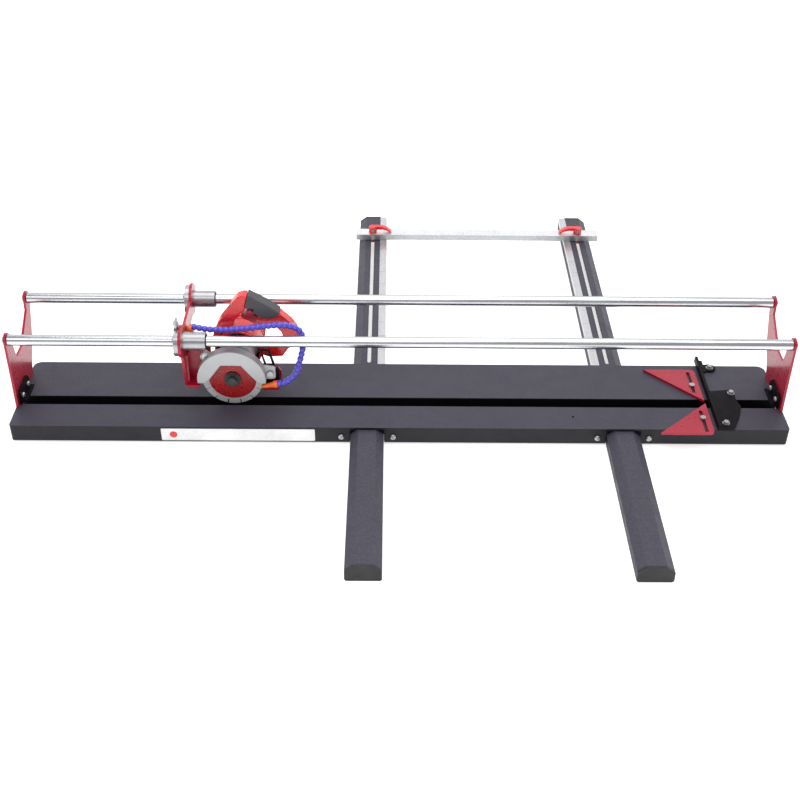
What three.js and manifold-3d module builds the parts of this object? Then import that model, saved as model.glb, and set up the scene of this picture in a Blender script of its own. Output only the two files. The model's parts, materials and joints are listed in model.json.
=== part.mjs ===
// Bench-top electric tile cutter: slotted table on four legs, two round rails,
// a travelling carriage with a small 110 mm disc saw, a water hose, angle
// gauges, an end stop and a sliding rear fence.  Millimetres, +Z up.
// Y is measured from the cutting groove while building and shifted at the end,
// so that the origin sits at the bottom centre of the whole machine.
import * as THREE from 'three';
import { mergeVertices } from 'three/addons/utils/BufferGeometryUtils.js';
import Module from 'manifold-3d';

const wasm = await Module();
wasm.setup();

// ---------------------------------------------------------------- driving sizes
const GAP = 0.3;                     // clearance between neighbouring pieces
const TABLE_HALF = 701;              // half length of the table
const TABLE_REAR = 123;              // rear edge, from the groove
const TABLE_FRONT = -77;             // front edge
const TABLE_TOP = 36;                // top face above the floor
const SHEET = 2;                     // table sheet thickness
const CORNER = { front: 5, rear: 15 };     // rounding of the table corners
const SKIRT_BOTTOM = 3;              // lower edge of the table skirt
const GROOVE_FRONT = -12;
const GROOVE_REAR = 14;
const LEG_X = [-60, 402];            // leg centre lines
const LEG_WIDTH = 60;
const LEG_HEIGHT = 31;
const LEG_BEVEL = [14, 11];          // width and drop of the long edges
const LEG_WALL = 2.5;
const LEG_FRONT_END = -424;
const LEG_REAR_END = 730;
const CAP = 5;                       // thickness of the leg end caps
const SLOT_WIDTH = 7;                // fence slot in the rear legs
const SLOT = [135, 676];             // its ends
const UNDERCUT = 34;                 // width of the opening below that slot
const RAIL_R = 10;
const RAIL_Z = TABLE_TOP + 137.5;
const RAIL_Y = [-7, 134];            // front and rear rail
const BRACKET_OUT = 700;             // outer face of the end brackets
const BRACKET_T = 4.5;
const PLATE_X = [-391, -386];        // carriage plate faces
const BEARING_R = 16;
const BEARING_FLANGE_R = 27;
const BLADE_R = 55;
const BLADE_T = 2;
const BLADE_C = [-305, TABLE_TOP + 52];    // blade centre (X, Z)
const MOTOR_C = [-295, TABLE_TOP + 92];    // motor axis (X, Z)
const MOTOR_R = 42;
const MOTOR_Y = [28.6, 118];
const PIVOT = [-350, TABLE_TOP + 101.6];   // hinge of the saw on the carriage
const GUARD_C = [-305.5, TABLE_TOP + 56];
const GUARD_R = 62;
const GUARD_Y = [-14, 5];
const STRAP_BOLT = [-236, TABLE_TOP + 63];
const GEAR_TEETH = 36;
const PINION_TEETH = 13;
const GEAR_Y = [13, 20];
const HANDLE_Y = [36, 58];
const FENCE_X = [-97, 447];
const FENCE_Y = [617, 644];
const FENCE_Z = [LEG_HEIGHT + 1.6, LEG_HEIGHT + 14.6];
const STOP_X = 570;                  // face of the end stop

// ---------------------------------------------------------------- solid helpers
function outward(geometry) {
  const p = geometry.attributes.position;
  const index = geometry.index.array;
  let volume = 0;
  const a = new THREE.Vector3();
  const b = new THREE.Vector3();
  const c = new THREE.Vector3();
  for (let i = 0; i < index.length; i += 3) {
    a.fromBufferAttribute(p, index[i]);
    b.fromBufferAttribute(p, index[i + 1]);
    c.fromBufferAttribute(p, index[i + 2]);
    volume += a.dot(b.cross(c));
  }
  if (volume < 0) {
    for (let i = 0; i < index.length; i += 3) {
      const swap = index[i + 1];
      index[i + 1] = index[i + 2];
      index[i + 2] = swap;
    }
  }
  return geometry;
}

function solid(geometry) {
  let g = geometry.clone();
  g.deleteAttribute('normal');
  g.deleteAttribute('uv');
  g = outward(mergeVertices(g, 1e-4));
  // triangles that collapsed to a line on the lathe axis are left out
  const index = [];
  const old = g.index.array;
  for (let i = 0; i < old.length; i += 3) {
    const [a, b, c] = [old[i], old[i + 1], old[i + 2]];
    if (a !== b && b !== c && c !== a) index.push(a, b, c);
  }
  return new wasm.Manifold(new wasm.Mesh({
    numProp: 3,
    vertProperties: new Float32Array(g.attributes.position.array),
    triVerts: new Uint32Array(index),
  }));
}

function unite(...pieces) {
  return pieces.reduce((sum, piece) => sum.add(piece));
}

function less(body, ...cuts) {
  return cuts.reduce((rest, cut) => rest.subtract(cut), body);
}

// outer outline counter-clockwise, holes clockwise
function wound(points, clockwise) {
  const path = points.map(([u, v]) => new THREE.Vector2(u, v));
  return THREE.ShapeUtils.isClockWise(path) === clockwise ? path : path.reverse();
}

function toShape(points, holes = []) {
  const shape = new THREE.Shape(wound(points, false));
  for (const hole of holes) {
    shape.holes.push(new THREE.Path(wound(hole, true)));
  }
  return shape;
}

// outline in the plane across `axis`, pulled from `from` to `to` along it:
// 'x' takes (Y, Z) points, 'y' takes (X, Z) points, 'z' takes (X, Y) points
function prism(axis, points, from, to, holes = []) {
  const depth = to - from;
  const g = new THREE.ExtrudeGeometry(toShape(points, holes), { depth, bevelEnabled: false, steps: 1 });
  if (axis === 'z') {
    g.translate(0, 0, from);
  } else if (axis === 'y') {
    g.rotateX(Math.PI / 2);
    g.translate(0, to, 0);
  } else {
    const turn = new THREE.Matrix4();
    turn.makeBasis(new THREE.Vector3(0, 1, 0), new THREE.Vector3(0, 0, 1), new THREE.Vector3(1, 0, 0));
    g.applyMatrix4(turn);
    g.translate(from, 0, 0);
  }
  return solid(g);
}

function box(x, y, z) {
  const g = new THREE.BoxGeometry(x[1] - x[0], y[1] - y[0], z[1] - z[0]);
  g.translate((x[0] + x[1]) / 2, (y[0] + y[1]) / 2, (z[0] + z[1]) / 2);
  return solid(g);
}

function circle(u, v, r, n = 32, start = 0) {
  const points = [];
  for (let i = 0; i < n; i += 1) {
    const a = start + (2 * Math.PI * i) / n;
    points.push([u + r * Math.cos(a), v + r * Math.sin(a)]);
  }
  return points;
}

function arc(u, v, r, from, to, n) {
  const points = [];
  for (let i = 0; i <= n; i += 1) {
    const a = THREE.MathUtils.degToRad(from + ((to - from) * i) / n);
    points.push([u + r * Math.cos(a), v + r * Math.sin(a)]);
  }
  return points;
}

function rod(axis, centre, r, from, to, n = 32) {
  return prism(axis, circle(centre[0], centre[1], r, n), from, to);
}

function ring(axis, centre, outer, inner, from, to, n = 32) {
  return prism(axis, circle(...centre, outer, n), from, to, [circle(...centre, inner, n)]);
}

function roundedRect(x, y, r, n = 5) {
  return [
    ...arc(x[1] - r, y[1] - r, r, 0, 90, n),
    ...arc(x[0] + r, y[1] - r, r, 90, 180, n),
    ...arc(x[0] + r, y[0] + r, r, 180, 270, n),
    ...arc(x[1] - r, y[0] + r, r, 270, 360, n),
  ];
}

function slotOutline(centre, halfLength, r, along = 'y', n = 6) {
  const [u, v] = centre;
  if (along === 'y') {
    return [...arc(u, v + halfLength, r, 0, 180, n), ...arc(u, v - halfLength, r, 180, 360, n)];
  }
  return [...arc(u + halfLength, v, r, -90, 90, n), ...arc(u - halfLength, v, r, 90, 270, n)];
}

// ---------------------------------------------------------------- the assembly
const group = new THREE.Group();
group.name = 'tile_cutter';

const FINISH = {
  charcoal: { color: 0x4b4957, roughness: 0.55, metalness: 0.2 },
  black: { color: 0x24232a, roughness: 0.6, metalness: 0.1 },
  red: { color: 0xc0141f, roughness: 0.28, metalness: 0.2 },
  chrome: { color: 0xd5d6da, roughness: 0.14, metalness: 1.0 },
  steel: { color: 0xa9aaae, roughness: 0.35, metalness: 0.95 },
  cast: { color: 0xb7b8bc, roughness: 0.5, metalness: 0.8 },
  alu: { color: 0xc9cbd0, roughness: 0.4, metalness: 0.9 },
  rubber: { color: 0x2e2c30, roughness: 0.85, metalness: 0.0 },
  blue: { color: 0x4a4fd0, roughness: 0.4, metalness: 0.0 },
  orange: { color: 0xe86a1c, roughness: 0.45, metalness: 0.0 },
  copper: { color: 0xb0663a, roughness: 0.4, metalness: 0.9 },
  carbon: { color: 0x36363a, roughness: 0.8, metalness: 0.1 },
};

function add(name, body, finish) {
  const out = body.getMesh();
  const g = new THREE.BufferGeometry();
  g.setAttribute('position', new THREE.BufferAttribute(new Float32Array(out.vertProperties), 3));
  g.setIndex(new THREE.BufferAttribute(new Uint32Array(out.triVerts), 1));
  g.translate(0, -(LEG_FRONT_END + LEG_REAR_END) / 2, 0);
  g.computeVertexNormals();
  const mesh = new THREE.Mesh(g, new THREE.MeshStandardMaterial(FINISH[finish]));
  mesh.name = name;
  group.add(mesh);
}

// ---------------------------------------------------------------- table and legs
function legOutline(x, wall = 0) {
  const w = LEG_WIDTH / 2 - wall;
  const top = LEG_HEIGHT - wall;
  const foot = 3 - wall * 0.4;
  const across = LEG_BEVEL[0] - wall * 0.6;
  const drop = LEG_BEVEL[1] - wall * 0.5;
  return [
    [x - w + foot, wall], [x + w - foot, wall], [x + w, wall + foot], [x + w, top - drop],
    [x + w - across, top], [x - w + across, top], [x - w, top - drop], [x - w, wall + foot],
  ];
}

// outline of the table, drawn in by the same amount all round
function tableOutline(inset) {
  const x = TABLE_HALF - inset;
  const [front, rear] = [TABLE_FRONT + inset, TABLE_REAR - inset];
  const [near, far] = [CORNER.front - inset, CORNER.rear - inset];
  return [
    ...arc(x - far, rear - far, far, 0, 90, 5),
    ...arc(far - x, rear - far, far, 90, 180, 5),
    ...arc(near - x, front + near, near, 180, 270, 5),
    ...arc(x - near, front + near, near, 270, 360, 5),
  ];
}

function tableTop() {
  let body = prism('z', tableOutline(0), SKIRT_BOTTOM, TABLE_TOP);
  body = less(body, prism('z', tableOutline(SHEET), SKIRT_BOTTOM - 1, TABLE_TOP - SHEET));
  body = less(body, box([-TABLE_HALF - 1, TABLE_HALF + 1], [GROOVE_FRONT, GROOVE_REAR],
    [TABLE_TOP - 24, TABLE_TOP + 1]));
  for (const legX of LEG_X) {
    const half = LEG_WIDTH / 2 + 1;
    body = less(body, box([legX - half, legX + half], [TABLE_FRONT - 1, TABLE_REAR + 1],
      [SKIRT_BOTTOM - 1, LEG_HEIGHT + 1]));
  }
  body = less(body, rod('z', [314, -41], 2.5, TABLE_TOP - 5, TABLE_TOP + 1, 16));
  for (const [cx, cy] of [...GAUGE_SCREWS, ...STOP_BOLTS]) {
    body = less(body, rod('z', [cx, cy], 3.4, TABLE_TOP - 5, TABLE_TOP + 1, 16));
  }
  return body;
}

function grooveTrough() {
  const floor = TABLE_TOP - 23;
  const top = TABLE_TOP - SHEET - GAP;
  const outline = [
    [GROOVE_FRONT - SHEET, floor], [GROOVE_REAR + SHEET, floor], [GROOVE_REAR + SHEET, top],
    [GROOVE_REAR + 0.2, top], [GROOVE_REAR + 0.2, floor + SHEET],
    [GROOVE_FRONT - 0.2, floor + SHEET], [GROOVE_FRONT - 0.2, top], [GROOVE_FRONT - SHEET, top],
  ];
  const half = TABLE_HALF - SHEET - GAP;
  return prism('x', outline, -half, half);
}

function leg(x, from, to, slotted) {
  let body = prism('y', legOutline(x), from, to);
  body = less(body, prism('y', legOutline(x, LEG_WALL), from - 1, to + 1));
  if (slotted) {
    const middle = (SLOT[0] + SLOT[1]) / 2;
    const half = (SLOT[1] - SLOT[0]) / 2 - SLOT_WIDTH / 2;
    body = less(body, prism('z', slotOutline([x, middle], half, SLOT_WIDTH / 2),
      LEG_HEIGHT - LEG_WALL - 1, LEG_HEIGHT + 1));
    const below = roundedRect([x - UNDERCUT / 2, x + UNDERCUT / 2], [SLOT[0] + 8, SLOT[1] - 8], 6);
    body = less(body, prism('z', below, -1, LEG_WALL + 1));
  }
  return body;
}

// moulded cap: a flange over the tube end and a hollow plug inside it
function legCap(x, end, direction) {
  const face = [end, end + direction * CAP].sort((a, b) => a - b);
  const plug = [end, end - direction * 12].sort((a, b) => a - b);
  const inside = LEG_WALL + GAP;
  let body = prism('y', legOutline(x), face[0], face[1]);
  body = body.add(prism('y', legOutline(x, inside), plug[0] - 0.01, plug[1] + 0.01));
  const hollow = [end - direction * 0.01, end - direction * 13].sort((a, b) => a - b);
  return less(body, prism('y', legOutline(x, inside + 2), hollow[0], hollow[1]));
}

// saddle behind the skirt: wraps the leg and carries its two flange screws
function legSaddle(x, y) {
  const outer = [[x - 55, 4.5], [x + 55, 4.5], [x + 55, 33.5], [x - 55, 33.5]];
  const half = LEG_WIDTH / 2 + 0.4;
  const top = LEG_HEIGHT + 0.4;
  const [across, drop] = LEG_BEVEL;
  const inner = [
    [x - half, 3], [x + half, 3], [x + half, top - drop], [x + half - across, top],
    [x - half + across, top], [x - half, top - drop],
  ];
  return less(prism('y', outer, y[0], y[1]), prism('y', inner, y[0] - 1, y[1] + 1));
}

// edge strip with a down-turned lip, over the inner bevel of a rear leg
function ruler(x, side) {
  const inner = x + side * 16.5;
  const edge = x + side * (LEG_WIDTH / 2 + 1.2);
  const lip = edge - side * 0.9;
  const [low, high] = [LEG_HEIGHT + GAP, LEG_HEIGHT + 1.2];
  const outline = [[inner, low], [lip, low], [lip, 25], [edge, 25], [edge, high], [inner, high]];
  return prism('y', outline, TABLE_REAR + 4, LEG_REAR_END - CAP - GAP);
}

// ---------------------------------------------------------------- rear fence
const FENCE_MID = (FENCE_Y[0] + FENCE_Y[1]) / 2;

function fenceBar() {
  const wall = 2;
  let body = box(FENCE_X, FENCE_Y, FENCE_Z);
  body = less(body, box([FENCE_X[0] - 1, FENCE_X[1] + 1],
    [FENCE_Y[0] + wall, FENCE_Y[1] - wall], [FENCE_Z[0] + wall, FENCE_Z[1] - wall]));
  for (const x of LEG_X) {
    body = less(body, rod('z', [x, FENCE_MID], 3.3, FENCE_Z[0] - 1, FENCE_Z[1] + 1, 16));
  }
  return body;
}

// drooping lever with a hub, on a bolt that ends in a square nut below the slot
function fenceCam(x, direction) {
  const base = FENCE_Z[1] + 0.4;
  const hub = rod('z', [x, FENCE_MID], 9, base, base + 13, 24);
  const curve = [
    [0, 6], [0, 13], [11, 15], [22, 14], [32, 10], [39, 5], [42, 1], [38, 1.6], [31, 5.5],
    [22, 8.2], [11, 8],
  ];
  const outline = curve.map(([along, up]) => [x + direction * along, base + up]);
  const arm = prism('y', outline, FENCE_MID - 5.5, FENCE_MID + 5.5);
  const bolt = rod('z', [x, FENCE_MID], 3, LEG_HEIGHT - 9, base + 1, 16);
  const nut = box([x - 8, x + 8], [FENCE_MID - 8, FENCE_MID + 8],
    [LEG_HEIGHT - 8, LEG_HEIGHT - LEG_WALL - 0.5]);
  return unite(hub, arm, bolt, nut);
}

// ---------------------------------------------------------------- rails and ends
const CLAMP_BOLT_Y = [-3, 32];
const CLAMP_BOLT_Z = TABLE_TOP + 14;

function bracketOutline() {
  const t = TABLE_TOP;
  return [
    [-25, t + GAP],
    [85, t + GAP],
    [88, t + 17],
    [121, t + 64],
    [147, t + 128],
    ...arc(RAIL_Y[1], RAIL_Z, 13.5, -10, 190, 12),
    [119, t + 120],
    [57, t + 81],
    [21, t + 81],
    [10, t + 128],
    ...arc(RAIL_Y[0] + 0.5, RAIL_Z, 13, 0, 180, 12),
    [-22, t + 60],
  ];
}

function endBracket(side) {
  const x = [side * (BRACKET_OUT - BRACKET_T), side * BRACKET_OUT].sort((a, b) => a - b);
  let body = prism('x', bracketOutline(), x[0], x[1]);
  for (const y of RAIL_Y) {
    body = less(body, rod('x', [y, RAIL_Z], 4.2, x[0] - 1, x[1] + 1, 16));
  }
  for (const y of CLAMP_BOLT_Y) {
    body = less(body, rod('x', [y, CLAMP_BOLT_Z], 3.4, x[0] - 1, x[1] + 1, 16));
  }
  return body;
}

// folded angle that holds the bracket upright on the table
function endClamp(side) {
  const wall = side * (BRACKET_OUT - BRACKET_T - GAP);
  const x = [side * 684, wall].sort((a, b) => a - b);
  const z = TABLE_TOP + GAP;
  const upright = [
    [-14, z], [46, z], [46, z + 20], [38, z + 29], [-8, z + 29], [-14, z + 23],
  ];
  const ends = [wall - side * 4, wall].sort((a, b) => a - b);
  const body = unite(box(x, [-5, 46], [z, z + 3]), prism('x', upright, ...ends));
  return less(body, ...CLAMP_BOLT_Y.map((y) => (
    rod('x', [y, CLAMP_BOLT_Z], 3.4, ends[0] - 1, ends[1] + 1, 16))));
}

// ground shaft with chamfered ends and a tapped hole at each end
function rail(y) {
  const end = BRACKET_OUT - BRACKET_T - GAP;
  const profile = [
    [0, -end + 20], [3.4, -end + 20], [3.4, -end], [RAIL_R - 1, -end], [RAIL_R, -end + 1],
    [RAIL_R, end - 1], [RAIL_R - 1, end], [3.4, end], [3.4, end - 20], [0, end - 20],
  ];
  const g = new THREE.LatheGeometry(profile.map(([r, h]) => new THREE.Vector2(r, h)), 40);
  g.rotateZ(-Math.PI / 2);
  g.translate(0, y, RAIL_Z);
  return solid(g);
}

// ---------------------------------------------------------------- carriage
// plate across the rails: a head round each bearing, a web, and a tongue
// that hangs below the front rail and carries the saw
function carriagePlate() {
  const headR = 29.5;
  let body = unite(
    rod('x', [RAIL_Y[0], RAIL_Z], headR, ...PLATE_X, 40),
    rod('x', [RAIL_Y[1], RAIL_Z], headR, ...PLATE_X, 40),
    box(PLATE_X, [RAIL_Y[0], RAIL_Y[1]], [RAIL_Z - 22, RAIL_Z + 12]),
    prism('x', [[-19, RAIL_Z - 20], [-8, 78], [18, 78], [24, RAIL_Z - 20]], ...PLATE_X),
  );
  for (const y of RAIL_Y) {
    body = less(body, rod('x', [y, RAIL_Z], BEARING_R + GAP, PLATE_X[0] - 1, PLATE_X[1] + 1, 40));
  }
  body = less(body, rod('x', [45, RAIL_Z - 8], 5.4, PLATE_X[0] - 1, PLATE_X[1] + 1, 20));
  return body;
}

function linearBearing(y) {
  const flangeX = [PLATE_X[0] - GAP - 8, PLATE_X[0] - GAP];
  const outer = unite(
    rod('x', [y, RAIL_Z], BEARING_FLANGE_R, flangeX[0], flangeX[1], 40),
    rod('x', [y, RAIL_Z], BEARING_R, flangeX[0], flangeX[0] + 54, 40),
  );
  return less(outer, rod('x', [y, RAIL_Z], RAIL_R + GAP, flangeX[0] - 1, flangeX[0] + 55, 40));
}

// cradle: upright web facing the saw, with the hinge eye; a band under the gear
// case runs on to a second upright behind the strap; each side has a foot tab
function sawCradle() {
  const x0 = PLATE_X[1] + GAP;
  const y = [13, 17];
  const web = [
    [x0, 76], [-352, 76], [-347, 84], [-349, 118], [-342, 130], [-342, 146], [-352, 150],
    [x0, 150],
  ];
  const band = [
    ...arc(...BLADE_C, 45, 184, 300, 14),
    ...arc(...BLADE_C, 38, 300, 184, 14),
  ];
  const far = [
    [-291, 46], [-283, 48], [-262, 53], [-251, 60], [-222, 60], [-218, 66], [-217, 96],
    [-222, 104], [-232, 106], [-243, 98], [-247, 80], [-262, 66], [-285, 55.5],
  ];
  const body = unite(
    ...[web, band, far].map((outline) => prism('y', outline, ...y)),
    box([-251, -222], [3, y[0] + 0.01], [60, 66]),
    box([x0, -363], [-14, y[0] + 0.01], [76, 82]),
    box([x0, x0 + 4], [-6, y[0] + 0.01], [76, 140]),
  );
  return less(body, rod('y', PIVOT, 4.3, y[0] - 1, y[1] + 1, 20));
}

function pivotScrew() {
  return unite(
    rod('y', PIVOT, 6.5, -4, 0.7, 24),
    rod('y', PIVOT, 4, 0.6, 21, 20),
    rod('y', PIVOT, 7, 17.4, 22, 6),
  );
}

// wing bolt standing in front of the front bearing flange, it locks the carriage
function wingScrew() {
  const stem = 4;
  const x = PLATE_X[0] - stem - GAP;
  const z = RAIL_Z + BEARING_FLANGE_R + GAP;
  const y = RAIL_Y[0];
  return unite(
    rod('z', [x, y], stem, z, z + 10, 16),
    box([x - 2, x + 2], [y - 11, y + 11], [z + 8, z + 15]),
    rod('z', [x, y], 5.5, z + 6, z + 11, 16),
  );
}

// ---------------------------------------------------------------- saw
function bladeDisc() {
  const count = 14;
  const points = [];
  const slot = 0.022;
  for (let i = 0; i < count; i += 1) {
    const start = (2 * Math.PI * i) / count + slot;
    const stop = (2 * Math.PI * (i + 1)) / count - slot;
    for (let k = 0; k <= 4; k += 1) {
      const a = start + ((stop - start) * k) / 4;
      points.push([BLADE_C[0] + BLADE_R * Math.cos(a), BLADE_C[1] + BLADE_R * Math.sin(a)]);
    }
    for (const a of [stop, stop + 2 * slot]) {
      points.push([BLADE_C[0] + (BLADE_R - 8) * Math.cos(a), BLADE_C[1] + (BLADE_R - 8) * Math.sin(a)]);
    }
  }
  return prism('y', points, -BLADE_T / 2, BLADE_T / 2, [circle(...BLADE_C, 10, 24)]);
}

function bladeFlange(from, to, bore) {
  return ring('y', BLADE_C, 15, bore, from, to, 32);
}

// cap nut, closed over the end of the spindle
function bladeNut() {
  const body = unite(
    prism('y', circle(...BLADE_C, 10, 6), -11, -5.3),
    rod('y', BLADE_C, 8.2, -12.6, -10.9, 24),
    rod('y', BLADE_C, 12.5, -6.8, -5.3, 32),
  );
  return less(body, rod('y', BLADE_C, 5.3, -10.4, -5.2, 24));
}

function spindle() {
  return unite(
    rod('y', BLADE_C, 5, -10, 21.5, 24),
    rod('y', BLADE_C, 9.6, -BLADE_T / 2 + 0.2, BLADE_T / 2 - 0.2, 24),
  );
}

function toothed(centre, tip, teeth, from, to, bore) {
  const points = [];
  for (let i = 0; i < teeth; i += 1) {
    for (const [share, r] of [[0.06, tip - 2.2], [0.3, tip], [0.62, tip], [0.86, tip - 2.2]]) {
      const a = (2 * Math.PI * (i + share)) / teeth;
      points.push([centre[0] + r * Math.cos(a), centre[1] + r * Math.sin(a)]);
    }
  }
  return prism('y', points, from, to, bore ? [circle(...centre, bore, 20)] : []);
}

function hullOutline(a, ra, b, rb, n = 14) {
  const dx = b[0] - a[0];
  const dz = b[1] - a[1];
  const along = Math.atan2(dz, dx);
  const tilt = Math.acos((ra - rb) / Math.hypot(dx, dz));
  const deg = THREE.MathUtils.radToDeg;
  return [
    ...arc(a[0], a[1], ra, deg(along + tilt), deg(along + 2 * Math.PI - tilt), n),
    ...arc(b[0], b[1], rb, deg(along - tilt), deg(along + tilt), n),
  ];
}

function gearCase() {
  const y = [6, 21.7];
  let body = prism('y', hullOutline(BLADE_C, 36, MOTOR_C, 31), ...y);
  body = less(body, prism('y', hullOutline(BLADE_C, 33, MOTOR_C, 28), y[0] + 3, y[1] + 1));
  return less(body, rod('y', BLADE_C, 7, y[0] - 1, y[0] + 4, 24));
}

function gearCover() {
  const y = [22, 28.3];
  let body = prism('y', hullOutline(BLADE_C, 36, MOTOR_C, 31), ...y);
  body = less(body, rod('y', MOTOR_C, 9.3, y[0] - 1, y[1] + 1, 24));
  return less(body, rod('y', BLADE_C, 5.6, y[0] - 1, y[0] + 3, 20));
}

function guardWindow() {
  return [
    [-354, 70], [-354, 87], [-346, 93], [-323, 125], [-287, 125], [-269, 101], [-259, 89],
    [-259, 70],
  ];
}

// half shell over the blade, open below, with a hinge ear at the left
// and a flat lug for the depth strap at the right
function bladeGuard() {
  const bottom = 86;
  const ear = hullOutline([-340, 128], 9, PIVOT, 9, 10);
  const lug = [
    [-264, bottom], [-230, bottom], [-227, 89], [-226.5, 111], [-230, 114], [-244, 116], [-264, 116],
  ];
  let body = less(
    rod('y', GUARD_C, GUARD_R, ...GUARD_Y, 56),
    box([-400, -200], [-20, 20], [0, bottom]),
  );
  body = unite(body, prism('y', ear, 1, 5), prism('y', lug, 1, 5));
  const inside = rod('y', GUARD_C, GUARD_R - 2.5, GUARD_Y[0] + 2.5, GUARD_Y[1] - 2, 56);
  const boss = rod('y', PIVOT, 9.5, -4.5, 5, 28);
  return less(
    less(body, inside).add(boss),
    prism('y', guardWindow(), GUARD_Y[0] - 1, GUARD_Y[0] + 3),
    rod('y', BLADE_C, 18, GUARD_Y[1] - 3, GUARD_Y[1] + 1, 32),
    rod('y', PIVOT, 7, -6, 1, 24),
    rod('y', PIVOT, 4.3, -1, 7, 20),
    rod('y', STRAP_BOLT, 3.3, -1, 7, 16),
  );
}

// black strap behind the guard lug: an open frame above, a curved foot below
function depthStrap() {
  const band = [
    [-253, 149], [-236, 147], [-231, 128], [-226, 109], [-221, 104], [-221, 82], [-237, 76],
    [-256, 69.5], [-258, 74], [-246, 84], [-246, 112], [-250, 130],
  ];
  const opening = [
    [-249.5, 145], [-239, 143.5], [-235, 128], [-232.2, 115.5], [-243, 115.5], [-247, 130],
  ];
  const body = prism('y', band, 5.3, 8.3, [opening]);
  return less(body, rod('y', STRAP_BOLT, 3.3, 4, 10, 16));
}

function strapBolt() {
  return unite(
    rod('y', STRAP_BOLT, 3, -0.5, 11, 16),
    rod('y', STRAP_BOLT, 6, -3.2, 0.7, 24),
    rod('y', STRAP_BOLT, 5.5, 8.6, 12.5, 6),
  );
}

// drum of the motor, open at the gear end, vented at the far end
function motorHousing() {
  const [y0, y1] = MOTOR_Y;
  let body = less(
    rod('y', MOTOR_C, MOTOR_R, y0, y1, 48),
    rod('y', MOTOR_C, MOTOR_R - 3, y0 - 1, y1 - 4, 48),
  );
  body = body.add(ring('y', MOTOR_C, 15, 11.3, y1 - 12, y1 - 3.9, 24));
  for (let i = 0; i < 8; i += 1) {
    const a = (Math.PI / 4) * i + Math.PI / 8;
    const mid = [MOTOR_C[0] + 26 * Math.cos(a), MOTOR_C[1] + 26 * Math.sin(a)];
    const tall = Math.abs(Math.cos(a)) < 0.7;
    body = less(body, prism('y', slotOutline(mid, 6, 2.4, tall ? 'x' : 'y'), y1 - 5, y1 + 1));
  }
  for (let i = 0; i < 4; i += 1) {
    const z = MOTOR_C[1] - 12 + i * 8;
    body = less(body, box([MOTOR_C[0] - 50, MOTOR_C[0] - 30], [34, 46], [z - 1.6, z + 1.6]));
  }
  return body;
}

function stator() {
  const body = ring('y', MOTOR_C, 38.4, 22, 50, 84, 40);
  const notches = [0, Math.PI].map((a) => box(
    [MOTOR_C[0] + 30 * Math.cos(a) - 5, MOTOR_C[0] + 30 * Math.cos(a) + 5],
    [49, 85], [MOTOR_C[1] - 9, MOTOR_C[1] + 9],
  ));
  return less(body, ...notches);
}

// one turning piece: shaft, pinion, fan, laminated core and commutator
function armature() {
  const blades = [];
  for (let i = 0; i < 8; i += 1) {
    const a = (Math.PI / 4) * i;
    const c = [Math.cos(a), Math.sin(a)];
    const at = (r, side) => [
      MOTOR_C[0] + r * c[0] - side * 1.2 * c[1],
      MOTOR_C[1] + r * c[1] + side * 1.2 * c[0],
    ];
    blades.push(prism('y', [at(10, -1), at(34, -1), at(34, 1), at(10, 1)], 32, 42));
  }
  return unite(
    rod('y', MOTOR_C, 4, 12, 112, 20),
    toothed(MOTOR_C, 10.9, PINION_TEETH, GEAR_Y[0], GEAR_Y[1], 0),
    rod('y', MOTOR_C, 34.5, 41.9, 43.5, 36),
    rod('y', MOTOR_C, 11, 32, 43, 20),
    rod('y', MOTOR_C, 21, 51, 83, 36),
    rod('y', MOTOR_C, 11, 88, 101, 24),
    ...blades,
  );
}

function brush(side) {
  const x = [MOTOR_C[0] + side * 11.4, MOTOR_C[0] + side * 38.4].sort((a, b) => a - b);
  return box(x, [91, 98], [MOTOR_C[1] - 4, MOTOR_C[1] + 4]);
}

// ---------------------------------------------------------------- handle
const HANDLE_OUTER = [
  [-340, 155], [-336, 168], [-329, 183], [-319, 197], [-308, 211], [-300, 227], [-291, 237],
  [-280, 241], [-270, 240], [-252, 229.5], [-235, 218.5], [-218, 205.5], [-207, 194], [-197, 184],
  [-188, 170], [-184, 155], [-186, 144], [-194, 135], [-205, 129], [-216, 112], [-242, 111],
  [-261, 118], [-279, 137],
];
const HANDLE_INNER = [
  [-303, 175], [-298, 189], [-291, 197], [-283, 192.5], [-267, 183.5], [-255, 181], [-240, 180],
  [-225, 175], [-216, 165], [-213, 154], [-217, 144], [-234, 140], [-254, 140], [-266, 155],
  [-284, 167],
];
const GRIP = [
  [-271, 245], [-252, 233], [-235, 222], [-218, 209], [-217, 204], [-226, 197], [-238, 193.5],
  [-247, 194.5], [-259, 200], [-266, 209], [-279, 217],
];
const GRIP_CORE = [
  [-296, 218], [-292, 229], [-283, 235], [-272, 234.5], [-253, 224], [-236, 213], [-220, 200.5],
  [-211, 190], [-230, 200], [-244, 203], [-256, 210], [-266, 217], [-280, 220],
];
const TRIGGER_C = [-271, 202.5];
const TRIGGER_R = 7.2;
const TRIGGER_RECESS = [
  [-289, 177], [-257.4, 177], [-257.4, 201], [-263.2, 205], [-263.2, 214.2], [-278.8, 214.2],
  [-281, 206.5], [-289, 203],
];

// clearance copy of a body for the piece that fits round it
function grown(body, by) {
  const shifts = [[by, 0], [-by, 0], [0, by], [0, -by]];
  return unite(body, ...shifts.map(([x, z]) => body.translate([x, 0, z])));
}

function triggerRecess() {
  return prism('y', TRIGGER_RECESS, HANDLE_Y[0] - 3, HANDLE_Y[1] + 3);
}

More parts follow.
